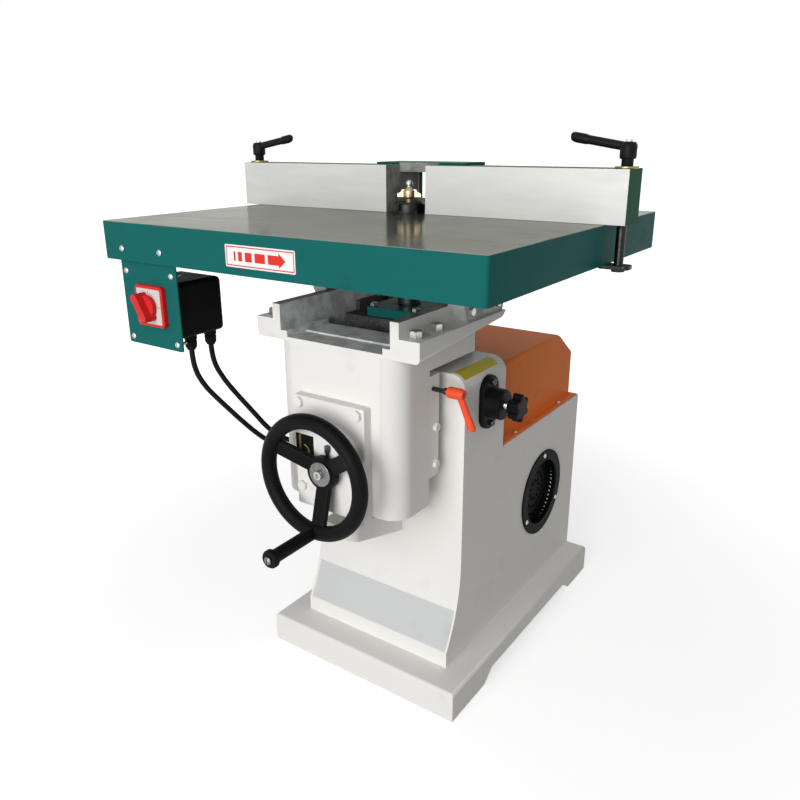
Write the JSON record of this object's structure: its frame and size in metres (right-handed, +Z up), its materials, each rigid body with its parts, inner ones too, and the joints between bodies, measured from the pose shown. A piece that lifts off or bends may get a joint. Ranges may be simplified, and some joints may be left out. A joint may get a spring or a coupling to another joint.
{
  "type": "spindle moulder",
  "caption": "Floor-standing spindle moulder: cast pedestal, table raised by a handwheel, one-piece fence with clamps, rotary switch and belt-driven vertical spindle.",
  "frame": {"origin": "on the floor under the middle of the machine's outline", "axes": "+X to the right of the operator who stands at the handwheel, +Y away from the operator, +Z up"},
  "size_m": [0.77, 0.8246, 0.9789],
  "materials": {
    "white_paint": "semi-gloss enamel over cast iron",
    "teal_paint": "teal enamel, table top ground bare",
    "green_paint": "dark green enamel, front faces machined bare",
    "cast_grey": "as cast and machined",
    "orange_paint": "orange enamel on sheet steel",
    "black_plastic": "satin moulded",
    "black_metal": "satin black",
    "orange_plastic": "glossy moulded",
    "red_plastic": "glossy moulded",
    "rubber": "smooth black",
    "zinc_steel": "bright zinc plated",
    "steel": "turned and ground",
    "brass": "machined",
    "motor_paint": "grey enamel"
  },
  "bodies": {
    "pedestal": {"pedestal_base": "white_paint", "pedestal": "white_paint", "lift_bracket": "white_paint", "lift_screw": "steel", "spindle_housing": "teal_paint", "spindle_housing_bolts": "zinc_steel", "spindle_bearings": "steel", "motor_frame": "motor_paint", "motor_plate": "motor_paint", "motor_bolts": "zinc_steel", "drive_belt": "rubber", "belt_cover": "orange_paint", "vent_cover": "black_metal", "cover_screws": "zinc_steel", "lock_flange": "black_plastic"},
    "carriage": {"carriage": "white_paint", "gear_cover": "white_paint", "gear_cover_bolts": "white_paint", "shaft_bush": "brass", "keeper_bar": "white_paint", "keeper_bolts": "white_paint", "saddle_left": "cast_grey", "saddle_right": "cast_grey", "saddle_bolts": "zinc_steel", "ear_bolts": "zinc_steel", "table": "teal_paint", "switch_plate": "teal_paint", "panel_screws": "zinc_steel", "switch_box": "black_plastic", "switch_bezel": "red_plastic", "switch_glands": "black_plastic", "cable_entries": "rubber", "cable_front": "rubber", "cable_rear": "rubber"},
    "shaft_lock": {"shaft_lock_screw": "steel"},
    "handwheel": {"handwheel": "black_plastic", "handwheel_shaft": "steel", "hub_washer": "zinc_steel", "hub_screw": "zinc_steel", "bevel_pinion": "cast_grey", "grip_bolt": "zinc_steel"},
    "crank_grip": {"crank_grip": "black_plastic"},
    "lift_nut": {"lift_nut_gear": "brass"},
    "lift_lock": {"lift_lock_lever": "orange_plastic", "lift_lock_stud": "steel"},
    "spindle": {"spindle": "steel", "spindle_pulley": "cast_grey", "collet_nut": "steel", "cutter": "brass", "pilot_bearing": "steel"},
    "motor": {"motor_rotor": "steel", "motor_pulley": "cast_grey"},
    "lock_plunger": {"lock_pin": "steel", "lock_knob": "black_plastic"},
    "fence": {"fence": "green_paint", "clamp_rods": "steel", "clamp_washers": "brass"},
    "clamp_left": {"clamp_lever_left": "black_plastic"},
    "clamp_right": {"clamp_lever_right": "black_plastic"},
    "switch_knob": {"switch_knob": "red_plastic"}
  },
  "joints": [
    {"name": "handwheel_turn", "type": "hinge", "parent": "carriage", "child": "handwheel", "pos_m": [0, -0.2758, 0.455], "axis": [0, 1, 0], "range_deg": [-1090, 6130]},
    {"name": "carriage_lift", "type": "slide", "parent": "pedestal", "child": "carriage", "axis": [0, 0, 1], "range_m": [-0.015, 0.085]},
    {"name": "lift_nut_turn", "type": "hinge", "parent": "carriage", "child": "lift_nut", "pos_m": [0, -0.1845, 0.42], "axis": [0, 0, 1], "range_deg": [-6130, 1090]},
    {"name": "crank_grip_spin", "type": "hinge", "parent": "handwheel", "child": "crank_grip", "pos_m": [0, -0.35, 0.359], "axis": [0, 1, 0], "continuous": true},
    {"name": "lift_lock_turn", "type": "hinge", "parent": "carriage", "child": "lift_lock", "pos_m": [0.17, -0.138, 0.587], "axis": [1, 0, 0], "range_deg": [-60, 60]},
    {"name": "shaft_lock_turn", "type": "hinge", "parent": "carriage", "child": "shaft_lock", "pos_m": [0, -0.258, 0.48], "axis": [0, 0, 1], "range_deg": [-90, 90]},
    {"name": "motor_spin", "type": "hinge", "parent": "pedestal", "child": "motor", "pos_m": [0, 0.24, 0.4], "axis": [0, 0, 1], "continuous": true},
    {"name": "spindle_spin", "type": "hinge", "parent": "pedestal", "child": "spindle", "pos_m": [0, -0.019, 0.6], "axis": [0, 0, 1], "continuous": true},
    {"name": "spindle_lock_push", "type": "slide", "parent": "pedestal", "child": "lock_plunger", "axis": [-1, 0, 0], "range_m": [0, 0.007], "stiffness_N_per_m": 600},
    {"name": "fence_slide", "type": "slide", "parent": "carriage", "child": "fence", "axis": [0, 1, 0], "range_m": [-0.018, 0.12]},
    {"name": "clamp_left_turn", "type": "hinge", "parent": "fence", "child": "clamp_left", "pos_m": [-0.366, -0.0025, 0.94], "axis": [0, 0, 1], "range_deg": [-90, 90]},
    {"name": "clamp_right_turn", "type": "hinge", "parent": "fence", "child": "clamp_right", "pos_m": [0.366, -0.0025, 0.94], "axis": [0, 0, 1], "range_deg": [-90, 90]},
    {"name": "switch_turn", "type": "hinge", "parent": "carriage", "child": "switch_knob", "pos_m": [-0.253, -0.385, 0.721], "axis": [0, 1, 0], "range_deg": [0, 90]}
  ],
  "couplings": [
    {"joint": "handwheel_turn", "follows": "carriage_lift", "rad_per_m": 1256.6},
    {"joint": "lift_nut_turn", "follows": "carriage_lift", "rad_per_m": -1256.6},
    {"joint": "spindle_spin", "follows": "motor_spin", "ratio": 3.2}
  ]
}
